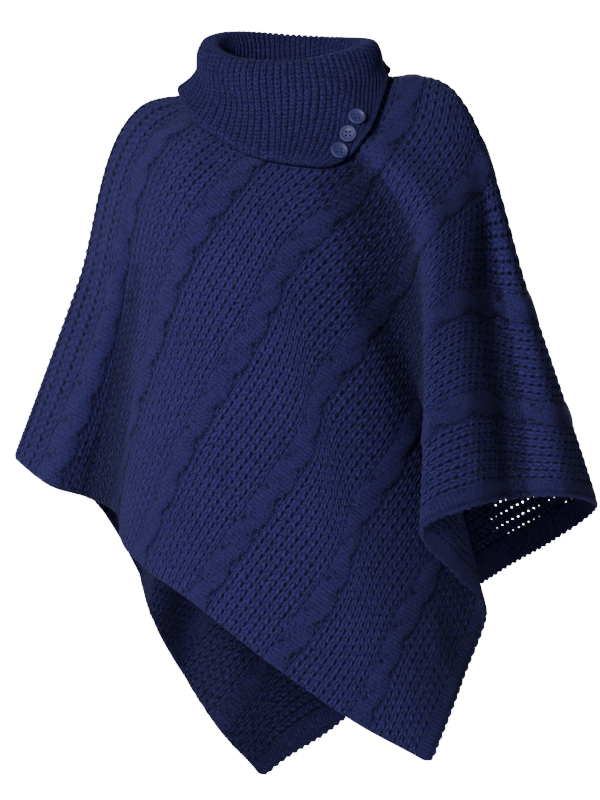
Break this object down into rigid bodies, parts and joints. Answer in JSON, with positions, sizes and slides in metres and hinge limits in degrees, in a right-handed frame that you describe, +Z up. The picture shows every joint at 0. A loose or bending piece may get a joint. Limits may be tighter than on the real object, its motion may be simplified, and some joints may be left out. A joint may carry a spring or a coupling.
{
  "type": "knitted poncho sweater",
  "caption": "Worn cable-knit poncho with slanting cables, front and back points, and a folded rib collar fastened at one side with buttons.",
  "frame": {"origin": "on the neck's axis at shoulder height, where the wearer's neck and shoulders carry the garment", "axes": "+Z up, the front faces -Y, +X towards the wearer's left"},
  "size_m": [0.7174, 0.333, 0.9369],
  "materials": {
    "panel_knit": "soft matt cable knit",
    "collar_rib": "soft matt rib knit",
    "button": "satin dyed polyester"
  },
  "bodies": {
    "root": {"front_panel": "panel_knit", "back_panel": "panel_knit", "collar": "collar_rib", "button_upper": "button", "button_middle": "button", "button_lower": "button"}
  },
  "joints": []
}
